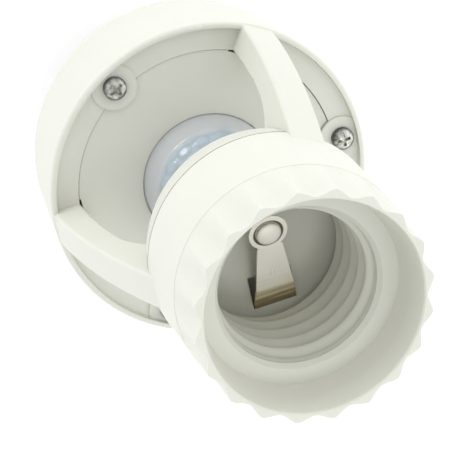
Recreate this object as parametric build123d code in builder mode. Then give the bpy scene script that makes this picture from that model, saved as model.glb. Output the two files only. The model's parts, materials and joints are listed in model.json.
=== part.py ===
from build123d import *
import os
from math import atan2, cos, pi, radians, sin, tan

os.makedirs("parts", exist_ok=True)

# Millimetres. +Z runs up the common axis from the tip of the screw cap to the mouth of the lamp socket.
# The origin is the lowest point of the cap's centre contact. One arm stands over +Y.

# Screw cap of size E27
cap_contact_radius = 4.8
cap_contact_height = 1.2
cap_contact_stem_radius = 1.3
cap_contact_stem_height = 6.0
cap_insulator_low_radius = 6.6
cap_insulator_height = 3.6
cap_insulator_plug_height = 1.6
cap_shell_radius = 13.1
cap_shell_wall = 0.4
cap_shell_height = 21.2
cap_shell_curl = 1.5

# Dish: rear housing, side wall, rim and band
collar_step = 2.3
collar_height = 2.4
shoulder_rise = 3.2
wall_draft = 1.45
rear_rounding = 1.6
rear_wall_height = 3.6
side_wall_height = 19.5
rim_radius = 29.85
rim_rounding = 0.7
rim_lip = 1.1
rim_lip_depth = 1.2
housing_wall = 1.8
housing_lip_height = 1.5
housing_lip_wall = 0.85
neck_wall = 1.75
neck_length = 18.0
neck_hole_rise = 6.5
band_width = 4.3
band_thickness = 1.2
band_fall = 0.2

# Sensor plate and lens
plate_thickness = 1.7
plate_drop = 0.3
plate_flange = 0.7
plate_flange_thickness = 0.7
lens_radius = 12.3
lens_wall = 0.8
lens_flange = 1.5
lens_flange_thickness = 0.8
lens_centre_drop = 0.5

# Arms and the lamp socket
arm_count = 3
arm_angle = 90.0
arm_width = 6.2
arm_depth = 5.5
arm_rounding = 0.7
arm_top_depth = 5.25
arm_bow = 1.5
arm_inner_bow = 0.5
arm_wall = 1.5
arm_rise = 38.6
arm_bite = 0.2
arm_flare_height = 8.4
channel_width = 3.2
channel_height = 2.7
channel_drop = 1.0
channel_knee_width = 3.6
channel_overrun = 3.0
arm_gap = 25.3
cover_depth = 9.0
cover_plate = 1.2
cover_rounding = 4.6
cover_wall = 1.1
cover_seam = 0.3
cover_slot_width = 11.4
cover_slot_height = 0.35
cover_draft = 1.8
spigot_wall = 1.1
barrel_draft = 0.8
barrel_height = 25.25
mouth_flare = 0.7
mouth_bevel = 0.2
mouth_bevel_depth = 0.3
mouth_taper = 0.55
mouth_middle_depth = 4.0
mouth_depth = 8.25
grip_wall = 0.4
step_width = 2.7
step_land = 0.65
step_rounding = 0.9
socket_radius = 13.35
cavity_height = 2.9
chamber_step = 0.4
chamber_height = 9.6
socket_wall = 2.55
socket_floor = 1.5
relief_cover = 2.4
flute_count = 20
flute_phase = -3.0
flute_depth = 1.15
flute_length = 10.5
flute_fullness = 0.8
flute_fade = 2.2
flute_points = 6
grip_step = 0.05

# Screws, their lugs and bosses
screw_inset = 3.95
screw_offset = 60.0
screw_radius = 1.1
screw_head_radius = 2.1
screw_head_height = 1.5
screw_length = 20.2
screw_slot = 0.6
screw_slot_depth = 0.9
lug_radius = 4.15
lug_height = 0.25
tube_radius = 2.3
boss_radius = 2.2

# Circuit board and what it carries
board_gap = 0.3
board_thickness = 1.6
board_drop = 6.4
post_inset = 3.8
post_radius = 2.0
pir_radius = 4.6
pir_height = 4.2
pir_flange = 0.5
pir_window_length = 5.2
pir_window_width = 4.2
pir_window_thickness = 0.4
light_sensor_radius = 2.5
light_sensor_height = 2.1
light_sensor_offset = 7.8
chip_width = 4.0
chip_length = 10.0
chip_height = 1.7
relay_width = 10.0
relay_length = 15.5
relay_height = 10.5
relay_inset = 4.8
relay_offset = -3.0
film_length = 13.0
film_width = 5.5
film_height = 9.5
film_rounding = 1.0
film_inset = 8.0
film_offset = 6.0
can_radius = 4.0
can_height = 10.0
can_rounding = 0.5
can_inset = 5.3
can_offset = 1.0
diode_count = 4
diode_radius = 1.3
diode_length = 4.6
diode_inset = 11.5
diode_gap = 0.65
resistor_count = 3
resistor_radius = 1.2
resistor_length = 6.0
resistor_inset = 14.3
resistor_offset = 8.0
fuse_radius = 1.6
fuse_length = 7.0
fuse_inset = 7.5
fuse_offset = 2.9
part_pitch = 3.3

# Contacts and leads
strip_thickness = 0.5
strip_root_width = 7.4
strip_neck_width = 4.4
strip_head_radius = 3.35
strip_recess_radius = 2.65
strip_recess = 0.3
strip_root = -11.2
strip_tab = 2.0
strip_tab_drop = 1.0
strip_bend = -7.4
strip_bend_rise = 2.3
strip_reach = 4.45
strip_end = 7.75
strip_rise = 7.5
strip_slot_length = 6.0
strip_slot_margin = 0.2
rivet_dome_radius = 1.9
rivet_head = 0.3
rivet_shank_radius = 1.0
rivet_dome = 0.8
side_strip_width = 5.0
side_strip_thickness = 0.4
side_strip_place = 14.2
side_strip_bow = 0.85
side_strip_drop = 4.0
side_strip_tip = 2.5
side_strip_lean = 3.5
side_strip_foot = 3.6
side_foot_drop = 1.05
side_pocket_margin = 0.7
lead_radius = 0.55
lead_pitch = 1.5
lead_gap = 0.35
lead_inset = 2.3
lead_rise = 3.4
lead_turn = 13.0
lead_tail = 4.5
lead_bend = 2.2
lead_long_bend = 14.0
lead_in_rise = 12.0
lead_in_shift = 1.5
lead_in_lean = 4.0
lead_in_bend = 6.0

# Fits
fit_gap = 0.15
seam_gap = 0.15
seat_gap = 0.05
screw_gap = 0.15
pilot_gap = 0.04

# Heights that follow
insulator_z = cap_contact_height
shell_z = insulator_z + cap_insulator_height
collar_z = shell_z + cap_shell_height
shoulder_z = collar_z + collar_height
rear_z = shoulder_z + shoulder_rise
seam_z = rear_z + rear_wall_height
rim_z = seam_z + side_wall_height
band_z = rim_z - rim_lip_depth
band_under_z = band_z - band_fall - band_thickness
plate_top_z = band_z - band_fall - plate_drop
plate_z = plate_top_z - plate_thickness
board_top_z = plate_z - board_drop
board_z = board_top_z - board_thickness
cover_z = rim_z + arm_gap
barrel_seam_z = cover_z + cover_depth
mouth_z = barrel_seam_z + barrel_height
step_z = mouth_z - mouth_depth
grip_z = mouth_z - flute_length
cavity_z = cover_z + cover_plate
floor_under_z = cavity_z + cavity_height
floor_z = floor_under_z + socket_floor
relief_z = step_z - relief_cover
side_top_z = step_z - side_strip_drop
side_bow_z = side_top_z - side_strip_tip
side_bend_z = side_bow_z - side_strip_lean

# Radii that follow
shell_inner = cap_shell_radius - cap_shell_wall
neck_radius = shell_inner - fit_gap
neck_bore = neck_radius - neck_wall
collar_radius = cap_shell_radius + collar_step
rear_radius = rim_radius - wall_draft
screw_circle = rim_radius - screw_inset
board_radius = screw_circle - tube_radius - board_gap
post_circle = board_radius - post_inset
band_outer = rim_radius - rim_lip
band_inner = band_outer - band_width
plate_radius = band_inner - seam_gap
lip_inner = rear_radius - housing_wall
lip_outer = lip_inner + housing_lip_wall
chamber_radius = socket_radius + chamber_step
step_radius = socket_radius + step_land
mouth_inner_radius = step_radius + step_width
mouth_middle_radius = mouth_inner_radius + mouth_taper
mouth_radius = mouth_middle_radius + mouth_flare
barrel_radius_high = mouth_radius + mouth_bevel + grip_wall + flute_depth
barrel_radius_low = barrel_radius_high + barrel_draft
cover_top_z = barrel_seam_z - cover_seam
cover_radius_high = barrel_radius_low
cover_radius_low = cover_radius_high - cover_draft
cover_slope = cover_draft / cover_depth
spigot_radius = cover_radius_high - fit_gap - cover_wall
spigot_radius_low = spigot_radius - cover_slope * (barrel_seam_z - floor_under_z)
spigot_inner = socket_radius + socket_wall
relief_outer = spigot_radius_low - spigot_wall
lens_centre_z = plate_top_z - lens_centre_drop


def wall_radius(z):
    """Outer radius of the dish's drafted side wall at a height."""
    return rear_radius + (rim_radius - rear_radius) * (z - rear_z) / (rim_z - rear_z)


def barrel_radius(z):
    """Outer radius of the tapered socket barrel at a height."""
    share = (z - barrel_seam_z) / barrel_height
    return barrel_radius_low + (barrel_radius_high - barrel_radius_low) * share


def grip_point(turn, share):
    """A point on the scooped grip: turn counts scoops, share is 0 at the grip's foot and 1 at the mouth."""
    wave = ((1 - cos(2 * pi * turn)) / 2) ** flute_fullness
    depth = flute_depth * (1 - (1 - share) ** flute_fade)
    radius = barrel_radius(grip_z + flute_length * share) - grip_step - depth * wave
    angle = radians(arm_angle + flute_phase) + 2 * pi * turn / flute_count
    return (radius * cos(angle), radius * sin(angle))


def cap_sphere(edge_radius, rise):
    """Radius of the sphere whose cap has this edge radius and this rise."""
    return (edge_radius ** 2 + rise ** 2) / (2 * rise)


def arm_outer(z):
    """Distance of an arm's outer face from the axis at a height."""
    share = (z - arm_low[1]) / arm_rise
    return arm_low[0] + (arm_high[0] - arm_low[0]) * share + 4 * arm_bow * share * (1 - share)


# Centre contact of the cap
with BuildPart() as cap_contact:
    with BuildSketch(Plane.XZ):
        with BuildLine():
            Polyline(
                (0, 0),
                (cap_contact_radius * 0.6, 0),
                (cap_contact_radius, cap_contact_height * 0.7),
                (cap_contact_radius, cap_contact_height),
                (cap_contact_stem_radius, cap_contact_height),
                (cap_contact_stem_radius, cap_contact_height + cap_contact_stem_height),
                (0, cap_contact_height + cap_contact_stem_height),
                close=True,
            )
        make_face()
    revolve(axis=Axis.Z)
cap_contact.part.label = "cap_contact"
export_step(cap_contact.part, "parts/cap_contact.step")

# Insulator cone of the cap, with the plug that fills the shell's bottom
insulator_top_radius = shell_inner - cap_shell_curl
with BuildPart() as cap_insulator:
    with BuildSketch(Plane.XZ):
        with BuildLine():
            Polyline(
                (cap_contact_stem_radius + seat_gap, insulator_z),
                (cap_insulator_low_radius, insulator_z),
                (insulator_top_radius, shell_z),
                (insulator_top_radius, shell_z + cap_shell_curl),
                (insulator_top_radius, shell_z + cap_shell_curl + cap_insulator_plug_height),
                (cap_contact_stem_radius + seat_gap, shell_z + cap_shell_curl),
                close=True,
            )
        make_face()
    revolve(axis=Axis.Z)
cap_insulator.part.label = "cap_insulator"
export_step(cap_insulator.part, "parts/cap_insulator.step")

# Screw shell of the cap, curled in at the bottom over the insulator
with BuildPart() as cap_shell:
    with BuildSketch(Plane.XZ):
        with BuildLine():
            inner_low = (insulator_top_radius + seat_gap, shell_z)
            outer_low = (cap_shell_radius - cap_shell_curl, shell_z)
            outer_side = (cap_shell_radius, shell_z + cap_shell_curl)
            inner_side = (shell_inner, shell_z + cap_shell_curl)
            Line(inner_low, outer_low)
            RadiusArc(outer_low, outer_side, -cap_shell_curl)
            Polyline(outer_side, (cap_shell_radius, collar_z), (shell_inner, collar_z), inner_side)
            inner_corner = (outer_low[0], shell_z + cap_shell_wall)
            RadiusArc(inner_side, inner_corner, cap_shell_curl - cap_shell_wall)
            Polyline(inner_corner, (inner_low[0], shell_z + cap_shell_wall), inner_low)
        make_face()
    revolve(axis=Axis.Z)
cap_shell.part.label = "cap_shell"
export_step(cap_shell.part, "parts/cap_shell.step")

# Rear housing: neck, collar, shoulder, short wall with its lip, board posts and screw bosses
neck_z = collar_z - neck_length
neck_hole_z = neck_z + neck_hole_rise
inner_floor_z = shoulder_z + housing_wall
lip_top_z = seam_z + housing_lip_height
with BuildPart() as rear_housing:
    with BuildSketch(Plane.XZ):
        with BuildLine():
            Polyline(
                (neck_bore, neck_z),
                (neck_radius, neck_z),
                (neck_radius, collar_z),
                (collar_radius, collar_z),
                (collar_radius, shoulder_z),
                (rear_radius, rear_z),
                (wall_radius(seam_z), seam_z),
                (lip_outer, seam_z),
                (lip_outer, lip_top_z),
                (lip_inner, lip_top_z),
                (lip_inner, rear_z + housing_wall),
                (collar_radius, inner_floor_z),
                (neck_bore, inner_floor_z),
                close=True,
            )
        make_face()
    revolve(axis=Axis.Z)
    rear_edge = rear_housing.edges().filter_by(GeomType.CIRCLE).filter_by(
        lambda e: abs(e.radius - rear_radius) < 0.01 and abs(e.center().Z - rear_z) < 0.01
    )
    fillet(rear_edge, rear_rounding)
    with BuildSketch(Plane.XY.offset(board_z)):
        with PolarLocations(post_circle, arm_count, arm_angle + screw_offset):
            Circle(post_radius)
    extrude(amount=-(board_z - inner_floor_z))
    with BuildSketch(Plane.XY.offset(lip_top_z)):
        with PolarLocations(screw_circle, arm_count, arm_angle + screw_offset):
            Circle(boss_radius)
        Circle(lip_outer, mode=Mode.INTERSECT)
    extrude(amount=-(lip_top_z - rear_z - 0.5 * housing_wall))
    with BuildSketch(Plane.XY.offset(lip_top_z)):
        with PolarLocations(screw_circle, arm_count, arm_angle + screw_offset):
            Circle(screw_radius + pilot_gap)
    extrude(amount=-(screw_length - (band_z + lug_height - lip_top_z) + 0.5), mode=Mode.SUBTRACT)
    with BuildSketch(Plane.YZ.offset(neck_bore * 0.5)):
        with Locations((0, neck_hole_z)):
            Circle(lead_radius + fit_gap)
    extrude(amount=neck_radius, mode=Mode.SUBTRACT)
rear_housing.part.label = "rear_housing"
export_step(rear_housing.part, "parts/rear_housing.step")

# One arm, standing over +X, solid: outer arc flush with the rim, inner arc that flares in behind the barrel
arm_low = (wall_radius(band_z) - arm_bite, band_z)
arm_high = (barrel_radius(band_z + arm_rise) - arm_bite, band_z + arm_rise)
arm_inner_low = (arm_low[0] - arm_depth, band_under_z + arm_bite)
flare_high = (spigot_inner - arm_bite, cover_z + arm_bite)
flare_low_z = flare_high[1] - arm_flare_height
flare_low = (arm_outer(flare_low_z) - arm_top_depth, flare_low_z)
arm_head = relief_outer + 2 * arm_bite
with BuildPart() as arm:
    with BuildSketch(Plane.XZ):
        with BuildLine():
            SagittaArc(arm_low, arm_high, -arm_bow)
            Polyline(
                arm_high,
                (arm_head, arm_high[1]),
                (arm_head, floor_under_z + 2 * arm_bite),
                (flare_high[0], floor_under_z + 2 * arm_bite),
                flare_high,
            )
            inner_arc = SagittaArc(arm_inner_low, flare_low, -arm_inner_bow)
            TangentArc(inner_arc @ 1, flare_high, tangent=inner_arc % 1)
            Polyline(arm_inner_low, (arm_low[0], arm_inner_low[1]), arm_low)
        make_face()
    extrude(amount=arm_width / 2, both=True)
    fillet(arm.edges().filter_by(GeomType.CIRCLE), arm_rounding)

# The channel through the arm that carries the two leads, over +X
channel_low_z = plate_z - channel_drop
channel_top_z = floor_under_z - 2 * arm_bite
channel_outer_low = (arm_low[0] - housing_wall, channel_low_z)
channel_outer_high = (arm_outer(channel_top_z) - arm_wall, channel_top_z)
channel_inner_low = (arm_inner_low[0] + arm_wall, channel_low_z)
channel_inner_high = (flare_low[0] + arm_wall, flare_low[1])
channel_knee = (channel_outer_high[0] - channel_knee_width, channel_top_z - channel_height)
channel_end = spigot_inner - channel_overrun
with BuildPart() as channel:
    with BuildSketch(Plane.XZ):
        with BuildLine():
            SagittaArc(channel_outer_low, channel_outer_high, -arm_bow * 0.75)
            Polyline(
                channel_outer_high,
                (channel_end, channel_top_z),
                (channel_end, channel_top_z - channel_height),
                channel_knee,
                channel_inner_high,
            )
            SagittaArc(channel_inner_low, channel_inner_high, -arm_inner_bow)
            Line(channel_inner_low, channel_outer_low)
        make_face()
    extrude(amount=channel_width / 2, both=True)

# Front frame: side wall, rim, band, lugs, three arms and the socket barrel, one moulding
wall_inner = lip_outer + seam_gap
ledge_z = lip_top_z + seat_gap
with BuildPart() as front_frame:
    with BuildSketch(Plane.XZ):
        with BuildLine():
            Polyline(
                (wall_inner, seam_z),
                (wall_radius(seam_z), seam_z),
                (rim_radius, rim_z),
                (band_outer, rim_z),
                (band_outer - 0.15, band_z),
                (band_inner, band_z - band_fall),
                (band_inner, band_under_z),
                (wall_radius(band_under_z) - housing_wall, band_under_z),
                (wall_radius(ledge_z) - housing_wall, ledge_z),
                (wall_inner, ledge_z),
                close=True,
            )
        make_face()
    revolve(axis=Axis.Z)
    rim_edges = front_frame.edges().filter_by(GeomType.CIRCLE).filter_by(
        lambda e: abs(e.center().Z - rim_z) < 0.01
    )
    fillet(rim_edges.sort_by(SortBy.RADIUS)[-1:], rim_rounding)
    # lugs on the band and the tubes under them
    with BuildSketch(Plane.XY.offset(band_under_z)):
        with PolarLocations(screw_circle, arm_count, arm_angle + screw_offset):
            Circle(lug_radius)
        Circle(band_outer, mode=Mode.INTERSECT)
    extrude(amount=band_z + lug_height - band_under_z)
    with BuildSketch(Plane.XY.offset(ledge_z)):
        with PolarLocations(screw_circle, arm_count, arm_angle + screw_offset):
            Circle(tube_radius)
    extrude(amount=band_under_z - ledge_z)
    with BuildSketch(Plane.XY.offset(ledge_z)):
        with PolarLocations(screw_circle, arm_count, arm_angle + screw_offset):
            Circle(screw_radius + screw_gap)
    extrude(amount=band_z + lug_height - ledge_z, mode=Mode.SUBTRACT)
    # socket barrel, solid
    with BuildSketch(Plane.XZ):
        with BuildLine():
            Polyline(
                (0, floor_under_z),
                (spigot_radius_low, floor_under_z),
                (spigot_radius, barrel_seam_z),
                (barrel_radius_low, barrel_seam_z),
                (barrel_radius(grip_z), grip_z),
                (0, grip_z),
                close=True,
            )
        make_face()
    revolve(axis=Axis.Z)
    # grip with round scoops that deepen towards the mouth
    for share in (0, 0.2, 0.45, 0.7, 1):
        with BuildSketch(Plane.XY.offset(grip_z + flute_length * share)):
            with BuildLine():
                for scoop in range(flute_count):
                    Spline([grip_point(scoop + i / flute_points, share) for i in range(flute_points + 1)])
            make_face()
    loft()
    with PolarLocations(0, arm_count, arm_angle):
        add(arm.part)
    # mouth, step, thread bore and the relief ring behind the bore's wall
    with BuildSketch(Plane.XZ):
        with BuildLine():
            Polyline(
                (0, floor_z),
                (chamber_radius, floor_z),
                (chamber_radius, floor_z + chamber_height - chamber_radius + socket_radius),
                (socket_radius, floor_z + chamber_height),
                (socket_radius, step_z - step_rounding),
                (step_radius, step_z),
                (mouth_inner_radius, step_z),
                (mouth_middle_radius, mouth_z - mouth_middle_depth),
                (mouth_radius, mouth_z - mouth_bevel_depth),
                (mouth_radius + mouth_bevel, mouth_z),
                (0, mouth_z),
                close=True,
            )
        make_face()
    revolve(axis=Axis.Z, mode=Mode.SUBTRACT)
    with BuildSketch(Plane.XZ):
        with Locations((spigot_inner, floor_under_z)):
            Rectangle(relief_outer - spigot_inner, relief_z - floor_under_z, align=(Align.MIN, Align.MIN))
    revolve(axis=Axis.Z, mode=Mode.SUBTRACT)
    # slot in the floor for the centre contact
    with BuildSketch(Plane.XY.offset(floor_under_z)):
        with Locations((strip_root - strip_thickness / 2 - strip_slot_margin, 0)):
            Rectangle(
                strip_slot_length,
                strip_root_width + 2 * strip_slot_margin,
                align=(Align.MIN, Align.CENTER),
            )
    extrude(amount=socket_floor, mode=Mode.SUBTRACT)
    # pocket in the bore's wall for the side contact, open through the floor
    with BuildSketch(Plane.XY.offset(floor_under_z)):
        with Locations((side_strip_place + side_strip_thickness / 2 + side_pocket_margin, 0)):
            Rectangle(
                side_strip_bow + side_strip_thickness + 2 * side_pocket_margin,
                side_strip_width + 2 * side_pocket_margin,
                align=(Align.MAX, Align.CENTER),
            )
    extrude(amount=side_top_z + side_pocket_margin - floor_under_z, mode=Mode.SUBTRACT)
    # channel for the leads in the arm over +Y
    with PolarLocations(0, 1, arm_angle):
        add(channel.part, mode=Mode.SUBTRACT)
front_frame.part.label = "front_frame"
export_step(front_frame.part, "parts/front_frame.step")

# Cover that closes the back of the barrel, notched round the three arms
with BuildPart() as barrel_cover:
    with BuildSketch(Plane.XZ):
        with BuildLine():
            Polyline(
                (0, cover_z),
                (cover_radius_low, cover_z),
                (cover_radius_high, cover_top_z),
                (spigot_radius + fit_gap, cover_top_z),
                (spigot_radius + fit_gap - cover_slope * (barrel_seam_z - cavity_z), cavity_z),
                (0, cavity_z),
                close=True,
            )
        make_face()
    revolve(axis=Axis.Z)
    cover_edges = barrel_cover.edges().filter_by(GeomType.CIRCLE)
    fillet(cover_edges.filter_by(lambda e: abs(e.center().Z - cover_z) < 0.01), cover_rounding)
    fillet(cover_edges.filter_by(lambda e: abs(e.center().Z - cavity_z) < 0.01), cover_rounding - cover_plate)
    with BuildSketch(Plane.XY.offset(cover_z)):
        with PolarLocations(flare_high[0] - fit_gap, arm_count, arm_angle):
            Rectangle(
                cover_radius_high,
                arm_width + 2 * fit_gap,
                align=(Align.MIN, Align.CENTER),
            )
    extrude(amount=cover_depth, mode=Mode.SUBTRACT)
    with BuildSketch(Plane.XY.offset(cover_top_z - cover_slot_height)):
        with PolarLocations(flare_high[0], arm_count, arm_angle):
            Rectangle(cover_radius_high, cover_slot_width, align=(Align.MIN, Align.CENTER))
    extrude(amount=cover_slot_height, mode=Mode.SUBTRACT)
barrel_cover.part.label = "barrel_cover"
export_step(barrel_cover.part, "parts/barrel_cover.step")

# Sensor plate: stepped disc, notched round the lugs and the arm roots, with posts down to the board
with BuildPart() as sensor_plate:
    with BuildSketch(Plane.XY.offset(plate_z)):
        Circle(plate_radius + plate_flange)
    extrude(amount=plate_flange_thickness)
    with BuildSketch(Plane.XY.offset(plate_z)):
        Circle(plate_radius)
    extrude(amount=plate_thickness)
    with BuildSketch(Plane.XY.offset(plate_z)):
        with PolarLocations(post_circle, arm_count, arm_angle + screw_offset):
            Circle(post_radius)
    extrude(amount=-(board_drop - seat_gap))
    with BuildSketch(Plane.XY.offset(plate_z)):
        Circle(lens_radius + fit_gap)
        with PolarLocations(screw_circle, arm_count, arm_angle + screw_offset):
            Circle(lug_radius + seam_gap)
        with PolarLocations(arm_inner_low[0] - 2 * fit_gap, arm_count, arm_angle):
            Rectangle(arm_depth, arm_width + 1.2, align=(Align.MIN, Align.CENTER))
    extrude(amount=plate_thickness, mode=Mode.SUBTRACT)
sensor_plate.part.label = "sensor_plate"
export_step(sensor_plate.part, "parts/sensor_plate.step")

# Domed lens with the flange that sits behind the plate
with BuildPart() as fresnel_lens:
    with BuildSketch(Plane.XZ):
        with BuildLine():
            lens_inner = lens_radius - lens_wall
            flange_z = plate_z - seat_gap - lens_flange_thickness
            dome_top = (0, lens_centre_z + lens_radius)
            dome_inner = (0, lens_centre_z + lens_inner)
            RadiusArc((lens_radius, lens_centre_z), dome_top, -lens_radius)
            Line(dome_top, dome_inner)
            RadiusArc(dome_inner, (lens_inner, lens_centre_z), lens_inner)
            Polyline(
                (lens_inner, lens_centre_z),
                (lens_inner, flange_z),
                (lens_radius + lens_flange, flange_z),
                (lens_radius + lens_flange, flange_z + lens_flange_thickness),
                (lens_radius, flange_z + lens_flange_thickness),
                (lens_radius, lens_centre_z),
            )
        make_face()
    revolve(axis=Axis.Z)
fresnel_lens.part.label = "fresnel_lens"
export_step(fresnel_lens.part, "parts/fresnel_lens.step")

# Three pan head screws with cross recesses
screw_seat_z = band_z + lug_height
with BuildPart() as housing_screws:
    with BuildSketch(Plane.XZ):
        with BuildLine():
            head_edge = (screw_head_radius, screw_seat_z + screw_head_height * 0.55)
            head_top = (0, screw_seat_z + screw_head_height)
            Polyline(
                head_top,
                (0, screw_seat_z - screw_length),
                (screw_radius, screw_seat_z - screw_length + 1.5),
                (screw_radius, screw_seat_z),
                (screw_head_radius, screw_seat_z),
                head_edge,
            )
            RadiusArc(head_edge, head_top, -cap_sphere(screw_head_radius, screw_head_height * 0.45))
        make_face()
    revolve(axis=Axis.Z)
    with BuildSketch(Plane.XY.offset(screw_seat_z + screw_head_height)):
        Rectangle(screw_head_radius * 1.25, screw_slot)
        Rectangle(screw_slot, screw_head_radius * 1.25)
    extrude(amount=-screw_slot_depth, mode=Mode.SUBTRACT)
with BuildPart() as screw_set:
    with PolarLocations(screw_circle, arm_count, arm_angle + screw_offset):
        add(housing_screws.part)
screw_set.part.label = "housing_screws"
export_step(screw_set.part, "parts/housing_screws.step")

# Circuit board
with BuildPart() as circuit_board:
    with BuildSketch(Plane.XY.offset(board_z)):
        Circle(board_radius)
    extrude(amount=board_thickness)
circuit_board.part.label = "circuit_board"
export_step(circuit_board.part, "parts/circuit_board.step")

# Infrared sensor can and its filter window
with BuildPart() as pir_sensor:
    with BuildSketch(Plane.XY.offset(board_top_z)):
        Circle(pir_radius)
    extrude(amount=pir_flange)
    with BuildSketch(Plane.XY.offset(board_top_z)):
        Circle(pir_radius - pir_flange)
    extrude(amount=pir_height)
    with BuildSketch(Plane.XY.offset(board_top_z + pir_height)):
        Rectangle(pir_window_length, pir_window_width)
    extrude(amount=-pir_window_thickness, mode=Mode.SUBTRACT)
pir_sensor.part.label = "pir_sensor"
export_step(pir_sensor.part, "parts/pir_sensor.step")

with BuildPart() as pir_window:
    with BuildSketch(Plane.XY.offset(board_top_z + pir_height)):
        Rectangle(pir_window_length - 2 * seat_gap, pir_window_width - 2 * seat_gap)
    extrude(amount=-pir_window_thickness)
pir_window.part.label = "pir_window"
export_step(pir_window.part, "parts/pir_window.step")

# Photocell that keeps the lamp off by day
with BuildPart() as light_sensor:
    with BuildSketch(Plane.XY.offset(board_top_z)):
        with Locations((light_sensor_offset, 0)):
            Circle(light_sensor_radius)
    extrude(amount=light_sensor_height)
light_sensor.part.label = "light_sensor"
export_step(light_sensor.part, "parts/light_sensor.step")

# Control chip on the upper side, over the relay
relay_x = relay_width / 2 + relay_inset - board_radius
with BuildPart() as control_chip:
    with BuildSketch(Plane.XY.offset(board_top_z)):
        with Locations((relay_x, relay_offset)):
            Rectangle(chip_width, chip_length)
    extrude(amount=chip_height)
control_chip.part.label = "control_chip"
export_step(control_chip.part, "parts/control_chip.step")

# Row of resistors lying on the upper side
with BuildPart() as board_resistors:
    with BuildSketch(Plane.XZ.offset(board_radius - resistor_inset)):
        with Locations((resistor_offset, board_top_z + resistor_radius)):
            with GridLocations(part_pitch, 0, resistor_count, 1):
                Circle(resistor_radius)
    extrude(amount=resistor_length)
board_resistors.part.label = "board_resistors"
export_step(board_resistors.part, "parts/board_resistors.step")

# Relay, film capacitor and electrolytic capacitor under the board
with BuildPart() as switching_relay:
    with BuildSketch(Plane.XY.offset(board_z)):
        with Locations((relay_x, relay_offset)):
            Rectangle(relay_width, relay_length)
    extrude(amount=-relay_height)
switching_relay.part.label = "switching_relay"
export_step(switching_relay.part, "parts/switching_relay.step")

with BuildPart() as dropper_capacitor:
    with BuildSketch(Plane.XY.offset(board_z)):
        with Locations((film_offset, film_width / 2 + film_inset - board_radius)):
            RectangleRounded(film_length, film_width, film_rounding)
    extrude(amount=-film_height)
dropper_capacitor.part.label = "dropper_capacitor"
export_step(dropper_capacitor.part, "parts/dropper_capacitor.step")

with BuildPart() as supply_capacitor:
    with BuildSketch(Plane.XY.offset(board_z)):
        with Locations((board_radius - can_inset - can_radius, can_offset)):
            Circle(can_radius)
    extrude(amount=-can_height)
    fillet(supply_capacitor.edges().group_by(Axis.Z)[0], can_rounding)
supply_capacitor.part.label = "supply_capacitor"
export_step(supply_capacitor.part, "parts/supply_capacitor.step")

# Rectifier diodes and fuse resistor lying under the board
diode_span = diode_radius + part_pitch * (diode_count - 1) / 2
with BuildPart() as rectifier_diodes:
    with BuildSketch(Plane.XZ.offset(diode_inset + diode_length - board_radius)):
        with Locations((fuse_offset - diode_gap - diode_span, board_z - diode_radius)):
            with GridLocations(part_pitch, 0, diode_count, 1):
                Circle(diode_radius)
    extrude(amount=-diode_length)
rectifier_diodes.part.label = "rectifier_diodes"
export_step(rectifier_diodes.part, "parts/rectifier_diodes.step")

with BuildPart() as fuse_resistor:
    with BuildSketch(Plane.YZ.offset(fuse_offset)):
        with Locations((board_radius - fuse_inset - fuse_radius, board_z - fuse_radius)):
            Circle(fuse_radius)
    extrude(amount=fuse_length)
fuse_resistor.part.label = "fuse_resistor"
export_step(fuse_resistor.part, "parts/fuse_resistor.step")

# Centre contact: one strip folded from a tab under the floor, up through the slot, to the round head
strip_tab_z = floor_under_z - strip_tab_drop
strip_end_z = floor_z + strip_rise
strip_slope = atan2(strip_end_z - floor_z - strip_bend_rise, strip_end - strip_bend)
rivet_z = strip_end_z - (strip_end - strip_reach) * tan(strip_slope)
rivet_plane = Plane(
    origin=(strip_reach, 0, rivet_z),
    x_dir=(cos(strip_slope), 0, sin(strip_slope)),
    z_dir=(-sin(strip_slope), 0, cos(strip_slope)),
)
with BuildPart() as centre_contact:
    with BuildSketch(Plane.XZ):
        with BuildLine() as strip_line:
            Polyline(
                (strip_root - strip_tab, strip_tab_z),
                (strip_root, strip_tab_z),
                (strip_root, floor_z - 0.2),
                (strip_bend, floor_z + strip_bend_rise),
                (strip_end, strip_end_z),
            )
        trace(line_width=strip_thickness)
    extrude(amount=strip_root_width / 2, both=True)
    with BuildSketch(Plane.XY.offset(cover_z)):
        with BuildLine():
            Polyline(
                (strip_root - strip_tab, -strip_root_width / 2),
                (strip_root + 1.0, -strip_root_width / 2),
                (strip_reach - strip_head_radius * 0.85, -strip_neck_width / 2),
                (strip_reach - strip_head_radius * 0.85, strip_neck_width / 2),
                (strip_root + 1.0, strip_root_width / 2),
                (strip_root - strip_tab, strip_root_width / 2),
                close=True,
            )
        make_face()
        with Locations((strip_reach, 0)):
            Circle(strip_head_radius)
    extrude(amount=mouth_z - cover_z, mode=Mode.INTERSECT)
    with BuildSketch(rivet_plane):
        Circle(rivet_shank_radius + seat_gap)
    extrude(amount=2 * strip_thickness, both=True, mode=Mode.SUBTRACT)
    with BuildSketch(rivet_plane.offset(strip_thickness / 2 - strip_recess)):
        Circle(strip_recess_radius)
    extrude(amount=strip_thickness, mode=Mode.SUBTRACT)
centre_contact.part.label = "centre_contact"
export_step(centre_contact.part, "parts/centre_contact.step")

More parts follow.
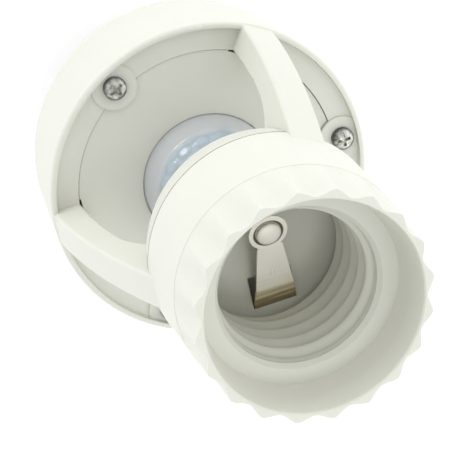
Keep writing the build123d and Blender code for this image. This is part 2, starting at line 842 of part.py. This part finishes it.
# Rivet through the strip's head: tall dome that stands in the head's recess, upset head below
with BuildPart() as contact_rivet:
    with BuildSketch(Plane.XZ):
        with BuildLine():
            strip_face = strip_thickness / 2
            dome_edge = (rivet_dome_radius, strip_face + rivet_head + rivet_dome * 0.6)
            dome_point = (0, strip_face + rivet_head + rivet_dome)
            Polyline(
                (0, -strip_face - rivet_head),
                (rivet_dome_radius, -strip_face - rivet_head),
                (rivet_dome_radius, -strip_face),
                (rivet_shank_radius, -strip_face),
                (rivet_shank_radius, strip_face - strip_recess),
                (rivet_dome_radius, strip_face - strip_recess),
                dome_edge,
            )
            RadiusArc(dome_edge, dome_point, -cap_sphere(rivet_dome_radius, rivet_dome * 0.4))
            Line(dome_point, (0, -strip_face - rivet_head))
        make_face()
    revolve(axis=Axis.Z)
placed_rivet = rivet_plane.location * contact_rivet.part
placed_rivet.label = "contact_rivet"
export_step(placed_rivet, "parts/contact_rivet.step")

# Side contact: foot under the floor, straight web, and the bowed spring that presses on the lamp's shell
side_foot_z = floor_under_z - side_foot_drop
with BuildPart() as side_contact:
    with BuildSketch(Plane.XZ):
        with BuildLine():
            Polyline(
                (side_strip_place - side_strip_foot, side_foot_z),
                (side_strip_place, side_foot_z),
                (side_strip_place, side_bend_z),
                (side_strip_place - side_strip_bow, side_bow_z),
                (side_strip_place - side_strip_bow * 0.6, side_top_z),
            )
        trace(line_width=side_strip_thickness)
    extrude(amount=side_strip_width / 2, both=True)
side_contact.part.label = "side_contact"
export_step(side_contact.part, "parts/side_contact.step")

# Leads from the board through the hollow arm to the two contacts
lead_z = floor_under_z - strip_tab_drop - strip_thickness / 2 - lead_gap - lead_radius
lead_start = board_radius - lead_inset
lead_foot = (channel_inner_low[0] + channel_outer_low[0]) / 2
lead_knee = (channel_inner_high[0] + arm_outer(flare_low_z) - arm_wall) / 2
lead_middle = (lead_foot + lead_knee) / 2 + arm_inner_bow
lead_corner = (channel_knee[0] + channel_outer_high[0]) / 2 + lead_radius
arm_path = [
    (lead_start, board_top_z + seat_gap),
    (lead_start, board_top_z + lead_rise),
    (lead_foot, plate_z),
    (lead_middle, (plate_z + flare_low_z) / 2),
    (lead_knee, flare_low_z),
    (lead_corner, lead_z),
    (lead_turn, lead_z),
]
lead_bends = [lead_bend, lead_bend, lead_long_bend, lead_long_bend, lead_bend]
for name, side, reach in (
    ("live_lead_out", -1, strip_tab / 2 - strip_root),
    ("neutral_lead_out", 1, side_strip_place - side_strip_foot + 2 * lead_radius),
):
    offset_x = side * lead_pitch / 2
    route = [(offset_x, y, z) for y, z in arm_path]
    route += [(side * reach, lead_tail, lead_z), (side * reach, 0, lead_z)]
    with BuildPart() as lead_out:
        with BuildLine() as lead_line:
            FilletPolyline(route, radius=lead_bends + [lead_bend, lead_bend])
        with BuildSketch(Plane(origin=lead_line.line @ 0, z_dir=lead_line.line % 0)):
            Circle(lead_radius)
        sweep()
    lead_out.part.label = name
    export_step(lead_out.part, f"parts/{name}.step")

# Leads from the cap to the board
stem_top_z = cap_contact_height + cap_contact_stem_height
with BuildPart() as live_lead_in:
    with BuildLine() as live_line:
        FilletPolyline(
            [
                (0, 0, stem_top_z + seat_gap),
                (0, 0, stem_top_z + lead_in_rise),
                (-lead_in_shift, lead_in_shift, board_z - lead_in_rise),
                (-lead_in_shift, lead_in_shift, board_z - seat_gap),
            ],
            radius=[lead_in_bend, lead_in_bend],
        )
    with BuildSketch(Plane(origin=live_line.line @ 0, z_dir=live_line.line % 0)):
        Circle(lead_radius)
    sweep()
live_lead_in.part.label = "live_lead_in"
export_step(live_lead_in.part, "parts/live_lead_in.step")

with BuildPart() as neutral_lead_in:
    with BuildLine() as neutral_line:
        FilletPolyline(
            [
                (shell_inner - seat_gap, 0, neck_hole_z),
                (neck_bore - lead_in_lean, 0, neck_hole_z),
                (lead_in_lean, lead_in_lean, board_z - lead_in_rise),
                (lead_in_lean, lead_in_lean, board_z - seat_gap),
            ],
            radius=[lead_bend, lead_in_bend],
        )
    with BuildSketch(Plane(origin=neutral_line.line @ 0, z_dir=neutral_line.line % 0)):
        Circle(lead_radius)
    sweep()
neutral_lead_in.part.label = "neutral_lead_in"
export_step(neutral_lead_in.part, "parts/neutral_lead_in.step")
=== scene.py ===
import bpy
import json
from math import asin, atan2, cos, pi, radians, sin, sqrt
from mathutils import Matrix, Vector


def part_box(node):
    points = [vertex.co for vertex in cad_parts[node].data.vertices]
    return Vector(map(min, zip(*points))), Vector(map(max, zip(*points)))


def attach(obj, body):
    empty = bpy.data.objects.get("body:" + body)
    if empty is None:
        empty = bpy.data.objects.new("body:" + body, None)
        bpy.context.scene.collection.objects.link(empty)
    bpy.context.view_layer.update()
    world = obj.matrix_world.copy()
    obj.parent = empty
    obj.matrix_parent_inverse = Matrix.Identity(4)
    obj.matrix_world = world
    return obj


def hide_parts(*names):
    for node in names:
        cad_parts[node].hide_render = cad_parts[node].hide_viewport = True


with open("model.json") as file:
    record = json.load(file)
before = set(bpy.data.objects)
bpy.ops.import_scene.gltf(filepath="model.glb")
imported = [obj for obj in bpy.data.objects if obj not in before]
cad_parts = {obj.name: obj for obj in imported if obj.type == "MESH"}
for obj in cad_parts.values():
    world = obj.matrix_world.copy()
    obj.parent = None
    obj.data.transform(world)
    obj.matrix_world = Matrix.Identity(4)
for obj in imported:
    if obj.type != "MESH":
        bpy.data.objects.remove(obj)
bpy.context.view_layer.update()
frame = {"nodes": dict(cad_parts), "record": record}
nodes = frame["nodes"]

# Scene units are metres. The sizes below are in millimetres, in the axes of the CAD model.
MM = 0.001

# Heights that the looks need, read from the frame
shell_low, shell_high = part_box("cap_shell")
lens_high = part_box("fresnel_lens")[1]

# Pitch of an E27 thread
PITCH = 3.629

# Contact strip: middle of its rivet, and its slope up from the fold
RIVET_POINT = Vector((4.45, 0.0, 91.92))
STRIP_CLIMB, STRIP_RUN = 5.2, 15.15
STRIP_SLOPE = atan2(STRIP_CLIMB, STRIP_RUN)
STRIP_ALONG = Vector((cos(STRIP_SLOPE), 0.0, sin(STRIP_SLOPE)))
STRIP_UP = Vector((-sin(STRIP_SLOPE), 0.0, cos(STRIP_SLOPE)))

# Middles of the three screw heads
SCREW_PLACES = ((22.43, 12.95), (-22.43, 12.95), (0.0, -25.9))


# Materials made of nodes

COAT_ROUGHNESS = 0.18
SUBSURFACE_RADIUS = (1.0, 0.85, 0.7)
SUBSURFACE_SCALE = 0.0012
NOISE_ROUGHNESS = 0.55


def new_material(name):
    material = bpy.data.materials.new(name)
    material.use_nodes = True
    return material, material.node_tree.nodes["Principled BSDF"]


def add_node(tree, kind, inputs=None, **settings):
    """A node with values on some of its inputs, and settings of its own."""
    node = tree.nodes.new(kind)
    for key, value in settings.items():
        setattr(node, key, value)
    for key, value in (inputs or {}).items():
        node.inputs[key].default_value = value
    return node


def ramp(tree, source, stops):
    """A colour ramp over a value, from places between 0 and 1 with their colours."""
    node = tree.nodes.new("ShaderNodeValToRGB")
    tree.links.new(source, node.inputs["Fac"])
    elements = node.color_ramp.elements
    while len(elements) < len(stops):
        elements.new(0.5)
    for element, (place, colour) in zip(elements, stops):
        element.position = place
        element.color = colour
    return node


def grey(v):
    return (v, v, v, 1.0)


def object_noise(tree, scale, detail=3.0, stretch=(1.0, 1.0, 1.0)):
    """Noise over the object's own coordinates."""
    coord = add_node(tree, "ShaderNodeTexCoord")
    mapping = add_node(tree, "ShaderNodeMapping", {"Scale": stretch})
    noise = add_node(tree, "ShaderNodeTexNoise",
                     {"Scale": scale, "Detail": detail, "Roughness": NOISE_ROUGHNESS})
    tree.links.new(coord.outputs["Object"], mapping.inputs["Vector"])
    tree.links.new(mapping.outputs["Vector"], noise.inputs["Vector"])
    return noise


def mottled(name, colour, second, roughness, spread, scale, bump=0.0, bump_scale=0.0,
            metallic=0.0, stretch=(1.0, 1.0, 1.0), coat=0.0, subsurface=0.0, specular=0.5):
    """A surface with a slow drift of colour, an uneven gloss and a fine surface texture."""
    material, shader = new_material(name)
    tree = material.node_tree
    slow = object_noise(tree, scale, stretch=stretch)
    tint = ramp(tree, slow.outputs["Fac"], [(0.3, (*colour, 1.0)), (0.72, (*second, 1.0))])
    tree.links.new(tint.outputs["Color"], shader.inputs["Base Color"])
    gloss = ramp(tree, slow.outputs["Fac"],
                 [(0.3, grey(roughness - spread)), (0.7, grey(roughness + spread))])
    tree.links.new(gloss.outputs["Color"], shader.inputs["Roughness"])
    if bump:
        fine = object_noise(tree, bump_scale, 2.0, stretch)
        node = add_node(tree, "ShaderNodeBump", {"Strength": 1.0, "Distance": bump})
        tree.links.new(fine.outputs["Fac"], node.inputs["Height"])
        tree.links.new(node.outputs["Normal"], shader.inputs["Normal"])
    shader.inputs["Metallic"].default_value = metallic
    shader.inputs["Coat Weight"].default_value = coat
    shader.inputs["Coat Roughness"].default_value = COAT_ROUGHNESS
    shader.inputs["Specular IOR Level"].default_value = specular
    if subsurface:
        shader.inputs["Subsurface Weight"].default_value = subsurface
        shader.inputs["Subsurface Radius"].default_value = SUBSURFACE_RADIUS
        shader.inputs["Subsurface Scale"].default_value = SUBSURFACE_SCALE
    return material


# Two colours, roughness and its spread, scale of the mottling, and what else a surface has
LOOKS = {
    "ivory_plastic": ((0.63, 0.63, 0.56), (0.65, 0.65, 0.58), 0.38, 0.03, 55.0, dict(
        bump=0.00002, bump_scale=1800.0, subsurface=0.05, specular=0.4)),
    "lens_plastic": ((0.465, 0.505, 0.55), (0.495, 0.535, 0.58), 0.15, 0.03, 120.0, dict(
        bump=0.000008, bump_scale=900.0, coat=0.4, subsurface=0.3)),
    "screw_steel": ((0.26, 0.26, 0.235), (0.72, 0.72, 0.67), 0.30, 0.06, 1500.0, dict(
        bump=0.00001, bump_scale=2600.0, metallic=1.0)),
    "contact_nickel": ((0.96, 0.94, 0.87), (1.0, 0.98, 0.92), 0.70, 0.06, 260.0, dict(
        bump=0.00001, bump_scale=1500.0, metallic=0.6, stretch=(0.15, 1.0, 1.0))),
    "cap_nickel": ((0.40, 0.39, 0.37), (0.52, 0.51, 0.485), 0.27, 0.06, 160.0, dict(
        bump=0.00001, bump_scale=1200.0, metallic=1.0, stretch=(1.0, 1.0, 5.0))),
    "cap_insulation": ((0.018, 0.018, 0.02), (0.032, 0.032, 0.034), 0.22, 0.05, 300.0, dict(
        bump=0.00002, bump_scale=1500.0)),
    "board_laminate": ((0.02, 0.10, 0.04), (0.035, 0.14, 0.06), 0.38, 0.05, 400.0, dict(
        bump=0.00001, bump_scale=3000.0)),
    "sensor_can": ((0.55, 0.55, 0.55), (0.68, 0.68, 0.67), 0.30, 0.05, 500.0, dict(metallic=1.0)),
    "dark_plastic": ((0.014, 0.014, 0.015), (0.024, 0.024, 0.026), 0.45, 0.08, 500.0, dict(
        bump=0.00001, bump_scale=2500.0)),
    "photocell": ((0.45, 0.12, 0.05), (0.60, 0.25, 0.10), 0.20, 0.05, 900.0, {}),
    "relay_plastic": ((0.015, 0.06, 0.25), (0.02, 0.08, 0.30), 0.35, 0.05, 250.0, {}),
    "capacitor_sleeve": ((0.012, 0.014, 0.03), (0.02, 0.022, 0.045), 0.28, 0.05, 300.0, {}),
    "film_plastic": ((0.50, 0.30, 0.03), (0.60, 0.38, 0.05), 0.34, 0.05, 250.0, {}),
    "resistor_coat": ((0.12, 0.32, 0.42), (0.16, 0.38, 0.48), 0.30, 0.05, 900.0, {}),
    "fuse_coat": ((0.10, 0.14, 0.11), (0.14, 0.18, 0.15), 0.50, 0.05, 900.0, {}),
    "live_cover": ((0.35, 0.012, 0.01), (0.42, 0.02, 0.015), 0.40, 0.05, 600.0, {}),
    "neutral_cover": ((0.014, 0.014, 0.016), (0.025, 0.025, 0.028), 0.40, 0.05, 600.0, {}),
}
materials = {name: mottled(name, *look[:-1], **look[-1]) for name, look in LOOKS.items()}


def shade_by(material, value, stops):
    """Multiplies the base colour by a ramp over a value between 0 and 1."""
    tree = material.node_tree
    socket = tree.nodes["Principled BSDF"].inputs["Base Color"]
    shade = ramp(tree, value, stops)
    mix = add_node(tree, "ShaderNodeMix", data_type="RGBA", blend_type="MULTIPLY")
    mix.inputs["Factor"].default_value = 1.0
    tree.links.new(socket.links[0].from_socket, mix.inputs["A"])
    tree.links.new(shade.outputs["Color"], mix.inputs["B"])
    tree.links.new(mix.outputs["Result"], socket)


def vector_math(tree, source, operation, vector=(0.0, 0.0, 0.0)):
    node = add_node(tree, "ShaderNodeVectorMath", operation=operation)
    node.inputs[1].default_value = vector
    tree.links.new(source, node.inputs[0])
    return node


def span(tree, source, low, high):
    """Spreads a value in metres, between two limits in millimetres, over 0 to 1."""
    node = add_node(tree, "ShaderNodeMapRange", {"From Min": low * MM, "From Max": high * MM})
    tree.links.new(source, node.inputs["Value"])
    return node.outputs["Result"]


def tarnish_and_shade_strip():
    """Dark ring in the groove round the rivet, painted shade of the groove with residue, and
    streaks across the strip near its fold, painted shade and reflection of the dark cavity with
    oxide.
    """
    material = materials["contact_nickel"]
    tree = material.node_tree
    origin = nodes["centre_contact"].matrix_world.translation
    coord = add_node(tree, "ShaderNodeTexCoord")
    from_rivet = vector_math(tree, coord.outputs["Object"], "SUBTRACT",
                             RIVET_POINT * MM - origin).outputs["Vector"]

    # Distance from the rivet's axis: the dark ring, painted shade of the groove with residue in it,
    # is from about 2.2 to 2.6 mm
    off_axis = vector_math(tree, from_rivet, "CROSS_PRODUCT", STRIP_UP)
    distance = vector_math(tree, off_axis.outputs["Vector"], "LENGTH")
    shade_by(material, span(tree, distance.outputs["Value"], low=1.5, high=3.0),
             [(0.43, grey(1.0)), (0.46, (0.16, 0.14, 0.09, 1.0)),
              (0.74, (0.18, 0.16, 0.10, 1.0)), (0.78, grey(1.0))])

    # Distance along the strip, moved by noise that is drawn out across the strip; darker and
    # browner towards the fold, painted shade and reflection of the dark cavity with oxide
    along = vector_math(tree, from_rivet, "DOT_PRODUCT", STRIP_ALONG)
    streaks = object_noise(tree, scale=300.0, detail=2.0, stretch=(5.0, 0.25, 5.0))
    most_moved = 9.0 * MM
    streaky = add_node(tree, "ShaderNodeMath", {1: most_moved}, operation="MULTIPLY_ADD")
    tree.links.new(streaks.outputs["Fac"], streaky.inputs[0])
    tree.links.new(along.outputs["Value"], streaky.inputs[2])
    shade_by(material, span(tree, streaky.outputs["Value"], low=-12.0, high=-0.5),
             [(0.05, (0.45, 0.36, 0.22, 1.0)), (0.20, (0.80, 0.73, 0.54, 1.0)),
              (0.40, (0.94, 0.92, 0.84, 1.0)), (0.6, grey(1.0))])


def paint_screw_edge_shade():
    """Darkens the screw heads by the distance from the nearest screw's axis: painted shade at the
    heads' edges and in the gap round them.
    """
    material = materials["screw_steel"]
    tree = material.node_tree
    coord = add_node(tree, "ShaderNodeTexCoord")
    flat = vector_math(tree, coord.outputs["Object"], "MULTIPLY", (1.0, 1.0, 0.0))
    nearest = None
    for x, y in SCREW_PLACES:
        place = (x * MM, y * MM, 0.0)
        distance = vector_math(tree, flat.outputs["Vector"], "DISTANCE", place).outputs["Value"]
        if nearest is None:
            nearest = distance
            continue
        lower = add_node(tree, "ShaderNodeMath", operation="MINIMUM")
        tree.links.new(nearest, lower.inputs[0])
        tree.links.new(distance, lower.inputs[1])
        nearest = lower.outputs["Value"]
    # Painted shade: darker towards the edge of each head
    shade_by(material, span(tree, nearest, low=1.2, high=2.2),
             [(0.2, grey(1.0)), (0.5, grey(0.82)), (0.68, grey(0.42)), (0.85, grey(0.22))])


def tint_lens():
    """The lens is greyer in its plain band and bluer above, where its lenslets are."""
    material = materials["lens_plastic"]
    tree = material.node_tree
    coord = add_node(tree, "ShaderNodeTexCoord")
    axes = add_node(tree, "ShaderNodeSeparateXYZ")
    tree.links.new(coord.outputs["Object"], axes.inputs["Vector"])
    shade_by(material, span(tree, axes.outputs["Z"], low=57.4, high=58.8),
             [(0.2, (1.0, 0.96, 0.90, 1.0)), (0.8, (0.80, 0.865, 0.88, 1.0))])


tarnish_and_shade_strip()
paint_screw_edge_shade()
tint_lens()

for subpart in frame["record"]["subparts"]:
    node = nodes[subpart["node"]]
    node.data.materials.clear()
    node.data.materials.append(materials[subpart["material_slot"]])


# Helpers for meshes

def add_mesh(name, verts, faces, slot, body="housing"):
    """A smooth mesh from points in millimetres, which rides on a body."""
    mesh = bpy.data.meshes.new(name)
    mesh.from_pydata([(x * MM, y * MM, z * MM) for x, y, z in verts], [], faces)
    mesh.validate()
    mesh.shade_smooth()
    obj = bpy.data.objects.new(name, mesh)
    bpy.context.scene.collection.objects.link(obj)
    mesh.materials.append(materials[slot])
    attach(obj, body)
    return obj


def closed_patch(name, front, back, row, slot, body="housing"):
    """A thin closed piece from two grids of points with rows of the same length."""
    verts = front + back
    count = len(front)
    last = count - row
    faces = []
    for a in range(0, last, row):
        for i in range(a, a + row - 1):
            faces.append((i + 1, i, i + row, i + row + 1))
            faces.append((count + i, count + i + 1, count + i + row + 1, count + i + row))
        b = a + row - 1
        faces.append((a, a + count, a + count + row, a + row))
        faces.append((b + count, b, b + row, b + count + row))
    for i in range(row - 1):
        faces.append((i + 1, i + count + 1, i + count, i))
        faces.append((last + i, last + i + count, last + i + count + 1, last + i + 1))
    add_mesh(name, verts, faces, slot, body)


def ring_bands(rings, steps):
    """The faces between rings of points that follow each other, with the same steps in each."""
    faces = []
    for j in range(rings - 1):
        for i in range(steps):
            a, b = j * steps + i, j * steps + (i + 1) % steps
            faces.append((a, b, b + steps, a + steps))
    return faces


def turn(i, steps):
    """The angle of one of the steps of a full turn."""
    return 2.0 * pi * i / steps


def smoothstep(a, b, x):
    t = min(1.0, max(0.0, (x - a) / (b - a)))
    return t * t * (3.0 - 2.0 * t)


def knuckle(turns):
    """Rounded thread form of an Edison screw: 0 at the root, 1 at the crest, over one pitch."""
    return 0.5 + 0.5 * cos(2.0 * pi * turns)


def socket_thread():
    """Rounded ridges on the socket's bore, left open where the side contact's pocket is."""
    bore_radius, crest_radius = 13.33, 12.35
    bore_low, bore_high = 86.6, 104.4
    fade_low, fade_high = 1.4, 1.5
    thread_start = 1.7
    pocket_half = 3.25
    buried = 0.015
    steps_round, steps_up = 168, 120
    pocket_angle = asin(pocket_half / bore_radius)
    open_angle = 2.0 * pi - 2.0 * pocket_angle
    front, back = [], []
    for j in range(steps_up + 1):
        z = bore_low + (bore_high - bore_low) * j / steps_up
        fade = smoothstep(bore_low, bore_low + fade_low, z)
        fade *= 1.0 - smoothstep(bore_high - fade_high, bore_high, z)
        for i in range(steps_round + 1):
            angle = pocket_angle + open_angle * i / steps_round
            ridge = knuckle((z - thread_start) / PITCH - angle / (2.0 * pi)) * fade
            r = bore_radius - (bore_radius - crest_radius) * ridge
            front.append((r * cos(angle), r * sin(angle), z))
            outer = bore_radius + buried
            back.append((outer * cos(angle), outer * sin(angle), z))
    closed_patch("socket_thread", front, back, steps_round + 1, "ivory_plastic")


def strip_rib():
    """Small rib pressed up out of the contact strip, highest and steepest towards the fold."""
    start, length, rise = -6.6, 3.1, 0.40
    sharp_half, blunt_half = 0.16, 0.60
    round_start, round_length = 0.86, 0.14
    aside = 0.2
    surface, buried, edge = 0.19, 0.1, 0.06
    swell, thinnest = 0.8, 0.05
    steps_along, steps_across = 20, 12
    front, back = [], []
    for j in range(steps_along + 1):
        share = j / steps_along
        end = sqrt(max(0.0, 1.0 - max(0.0, (share - round_start) / round_length) ** 2))
        half = (sharp_half + (blunt_half - sharp_half) * share) * max(thinnest, end)
        for i in range(steps_across + 1):
            across = 1.0 - 2.0 * i / steps_across
            lift = surface + (rise * share ** swell * end + edge) * (1.0 - across ** 2)
            place = RIVET_POINT + STRIP_ALONG * (start - length * share)
            place += Vector((0.0, across * half + aside, 0.0))
            front.append(tuple(place + STRIP_UP * lift))
            back.append(tuple(place + STRIP_UP * buried))
    closed_patch("strip_rib", front, back, steps_across + 1, "contact_nickel", "centre_contact_arm")


def rivet_dome():
    """Broad low dome on the rivet, in place of the plainer one."""
    head_radius, head_low, dome_low, dome_height = 2.12, -0.05, 0.55, 0.62
    foot_low, foot_high, foot_radius = -0.55, -0.25, 1.9
    inner_radius, shank_radius = 0.4, 1.0
    fullness, tip = 0.8, 0.02
    steps_round, steps_up = 72, 14
    profile = [(inner_radius, foot_low), (foot_radius, foot_low), (foot_radius, foot_high),
               (shank_radius, foot_high), (shank_radius, head_low), (head_radius, head_low)]
    for j in range(steps_up + 1):
        angle = 0.5 * pi * j / steps_up
        r = head_radius * max(tip, cos(angle)) ** fullness
        profile.append((r, dome_low + dome_height * sin(angle)))
    verts = []
    for r, height in profile:
        for i in range(steps_round):
            angle = turn(i, steps_round)
            side = STRIP_ALONG * (r * cos(angle)) + Vector((0.0, r * sin(angle), 0.0))
            verts.append(tuple(RIVET_POINT + side + STRIP_UP * height))
    faces = ring_bands(len(profile), steps_round)
    last = (len(profile) - 1) * steps_round
    faces.append(tuple(reversed(range(steps_round))))
    faces.append(tuple(last + i for i in range(steps_round)))
    obj = add_mesh("rivet_dome", verts, faces, "contact_nickel", "centre_contact_arm")
    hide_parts("contact_rivet")


def cap_thread():
    """Screw cap with its rolled thread, in place of the plain shell."""
    wall = 0.35
    outer, root = 13.08, 12.15
    curl_radius, curl_height = 11.35, 1.5
    plain_low, plain_high, fade_length = 2.0, 5.6, 1.6
    steps_round, steps_up = 144, 150
    low, high = shell_low.z / MM, shell_high.z / MM
    thread_low, thread_high = low + plain_low, high - plain_high
    profile = []
    for j in range(steps_up + 1):
        z = low + (high - low) * j / steps_up
        curl = min(1.0, (z - low) / curl_height)
        base = curl_radius + (outer - curl_radius) * sqrt(max(0.0, 1.0 - (1.0 - curl) ** 2))
        fade = smoothstep(thread_low, thread_low + fade_length, z)
        fade *= 1.0 - smoothstep(thread_high - fade_length, thread_high, z)
        profile.append((z, base, fade))
    verts = []
    for shift in (0.0, wall):
        for z, base, fade in profile:
            for i in range(steps_round):
                angle = turn(i, steps_round)
                groove = 1.0 - knuckle(z / PITCH - angle / (2.0 * pi))
                r = base - (outer - root) * groove * fade - shift
                verts.append((r * cos(angle), r * sin(angle), z))
    inner = (steps_up + 1) * steps_round
    faces = []
    for a, b, c, d in ring_bands(steps_up + 1, steps_round):
        faces.append((a, b, c, d))
        faces.append((d + inner, c + inner, b + inner, a + inner))
    last = steps_up * steps_round
    for i in range(steps_round):
        k = (i + 1) % steps_round
        faces.append((k, i, i + inner, k + inner))
        faces.append((last + i, last + k, last + k + inner, last + i + inner))
    obj = add_mesh("cap_thread_shell", verts, faces, "cap_nickel")
    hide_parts("cap_shell")


# Rings of lenslets: elevation in degrees, how many, how far the first is turned, as a share of
# one step, and half of an oval's size round the dome and upwards
LENSLET_RINGS = ((33.5, 18, 0.32, 1.78, 1.35), (47.0, 14, 0.1, 1.85, 1.45),
                 (61.5, 9, 0.4, 2.0, 1.55), (76.5, 5, 0.2, 1.6, 1.5))
TOP_LENSLET_HALF = 1.5


def lenslet_frames():
    """For each lenslet its direction, the two directions along the dome, and its half sizes."""
    lenslets = []
    for elevation, count, offset, half_round, half_up in LENSLET_RINGS:
        for k in range(count):
            around = 2.0 * pi * (k + offset) / count
            tall = radians(elevation)
            out = Vector((cos(tall) * cos(around), cos(tall) * sin(around), sin(tall)))
            side = Vector((-sin(around), cos(around), 0.0))
            lenslets.append((out, side, out.cross(side), half_round, half_up))
    lenslets.append((Vector((0.0, 0.0, 1.0)), Vector((0.0, 1.0, 0.0)), Vector((-1.0, 0.0, 0.0)),
                     TOP_LENSLET_HALF, TOP_LENSLET_HALF))
    return lenslets


def lens_dome():
    """Lens dome with its rings of small raised lenslets, in place of the plain dome."""
    radius, solid_radius = 12.28, 12.3
    centre_z = lens_high.z / MM - solid_radius
    flange_top, flange_low, flange_radius = 51.22, 50.47, 13.78
    collar_radius, collar_low, collar_high = 12.40, flange_top + 0.12, centre_z + 0.38
    depth, top_drop = 0.26, 0.04
    edge_low, edge_high = -0.1, 0.8
    near_cosine = 0.95
    zone_low, zone_high = radians(24.5), radians(28.5)
    dome_low, dome_high = radians(2.0), radians(89.2)
    steps_round, steps_up = 240, 90
    lenslets = lenslet_frames()
    verts = []
    first = [(flange_radius, flange_low), (flange_radius, flange_top), (radius, flange_top),
             (collar_radius, collar_low), (collar_radius, collar_high)]
    for r, z in first:
        for i in range(steps_round):
            angle = turn(i, steps_round)
            verts.append((r * cos(angle), r * sin(angle), z))
    for j in range(steps_up):
        elevation = dome_low + (dome_high - dome_low) * j / (steps_up - 1)
        in_zone = smoothstep(zone_low, zone_high, elevation)
        for i in range(steps_round):
            angle = turn(i, steps_round)
            n = Vector((cos(elevation) * cos(angle), cos(elevation) * sin(angle), sin(elevation)))
            bulge = 0.0
            for out, side, up, half_round, half_up in lenslets:
                if n.dot(out) > near_cosine:
                    reach = (n.dot(side) * radius / half_round) ** 2
                    reach += (n.dot(up) * radius / half_up) ** 2
                    bulge = max(bulge, 1.0 - reach)
            r = radius - depth * in_zone * (1.0 - smoothstep(edge_low, edge_high, bulge))
            verts.append((n.x * r, n.y * r, centre_z + n.z * r))
    rings = len(first) + steps_up
    faces = ring_bands(rings, steps_round)
    top = len(verts)
    verts.append((0.0, 0.0, centre_z + radius - top_drop))
    last = (rings - 1) * steps_round
    for i in range(steps_round):
        faces.append((last + i, last + (i + 1) % steps_round, top))
    obj = add_mesh("lens_dome", verts, faces, "lens_plastic")
    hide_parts("fresnel_lens")


socket_thread()
strip_rib()
rivet_dome()
cap_thread()
lens_dome()


# Camera at the photograph's angle, in metres

PHOTO_PIXELS, FOCAL_PIXELS = 470.0, 1900.0
SENSOR_WIDTH = 36.0
MIDDLE = Vector((0.0, 0.0, 0.075))
CAMERA_PLACE = Vector((0.135536, 0.059659, 0.367837))
CAMERA_RIGHT = Vector((-0.208781, -0.936348, 0.282247))
CAMERA_UP = Vector((0.883663, -0.304270, -0.355752))
CAMERA_VIEW = Vector((-0.418987, -0.175137, -0.890942))

camera_data = bpy.data.cameras.new("camera")
camera_data.lens = SENSOR_WIDTH * FOCAL_PIXELS / PHOTO_PIXELS
camera_data.sensor_width = SENSOR_WIDTH
camera_data.sensor_fit = "HORIZONTAL"
camera_data.clip_start = 0.01
camera = bpy.data.objects.new("camera", camera_data)
bpy.context.scene.collection.objects.link(camera)
basis = Matrix((CAMERA_RIGHT, CAMERA_UP, -CAMERA_VIEW)).transposed().to_4x4()
camera.matrix_world = Matrix.Translation(CAMERA_PLACE) @ basis
bpy.context.scene.camera = camera


# Plain pale floor, just under the object

FLOOR_HALF, FLOOR_LEVEL = 3.0, -0.0004
corners = ((-1, -1), (1, -1), (1, 1), (-1, 1))
floor_mesh = bpy.data.meshes.new("floor")
floor_mesh.from_pydata([(x * FLOOR_HALF, y * FLOOR_HALF, FLOOR_LEVEL) for x, y in corners],
                       [], [(0, 1, 2, 3)])
floor_object = bpy.data.objects.new("floor", floor_mesh)
bpy.context.scene.collection.objects.link(floor_object)
floor_material, floor_shader = new_material("floor")
floor_shader.inputs["Base Color"].default_value = (0.97, 0.97, 0.97, 1.0)
floor_shader.inputs["Roughness"].default_value = 0.8
floor_shader.inputs["Emission Color"].default_value = (1.0, 1.0, 1.0, 1.0)
floor_shader.inputs["Emission Strength"].default_value = 0.1
floor_mesh.materials.append(floor_material)


# Lights

def view_point(right, up, near):
    """A point given by the camera's own axes, counted from the middle of the object."""
    return MIDDLE + CAMERA_RIGHT * right + CAMERA_UP * up - CAMERA_VIEW * near


def area_light(name, place, size, power):
    """A round light that shines on the middle of the object."""
    data = bpy.data.lights.new(name, "AREA")
    data.shape = "DISK"
    data.size = size
    data.energy = power
    obj = bpy.data.objects.new(name, data)
    bpy.context.scene.collection.objects.link(obj)
    obj.location = place
    obj.rotation_euler = (MIDDLE - place).to_track_quat("-Z", "Y").to_euler()


area_light("key", view_point(right=-0.49, up=0.50, near=0.40), size=0.30, power=1.1)
area_light("fill", view_point(right=0.32, up=-0.55, near=0.71), size=0.25, power=1.0)

# Soft light all round, stronger from the sides than from above and from +Y
SKY_AXIS = (0.0, 0.35, 0.937)
SKY_SIDES, SKY_ABOVE = (0.98, 0.99, 1.0, 1.0), (0.435, 0.44, 0.45, 1.0)
SKY_STRENGTH = 1.76
world = bpy.data.worlds.new("studio")
bpy.context.scene.world = world
world.use_nodes = True
sky = world.node_tree
sky_coord = add_node(sky, "ShaderNodeTexCoord")
sky_tilt = vector_math(sky, sky_coord.outputs["Generated"], "DOT_PRODUCT", SKY_AXIS)
sky_light = ramp(sky, sky_tilt.outputs["Value"], [(0.0, SKY_SIDES), (1.0, SKY_ABOVE)])
sky.links.new(sky_light.outputs["Color"], sky.nodes["Background"].inputs["Color"])
sky.nodes["Background"].inputs["Strength"].default_value = SKY_STRENGTH
bpy.context.scene.view_settings.view_transform = "Standard"
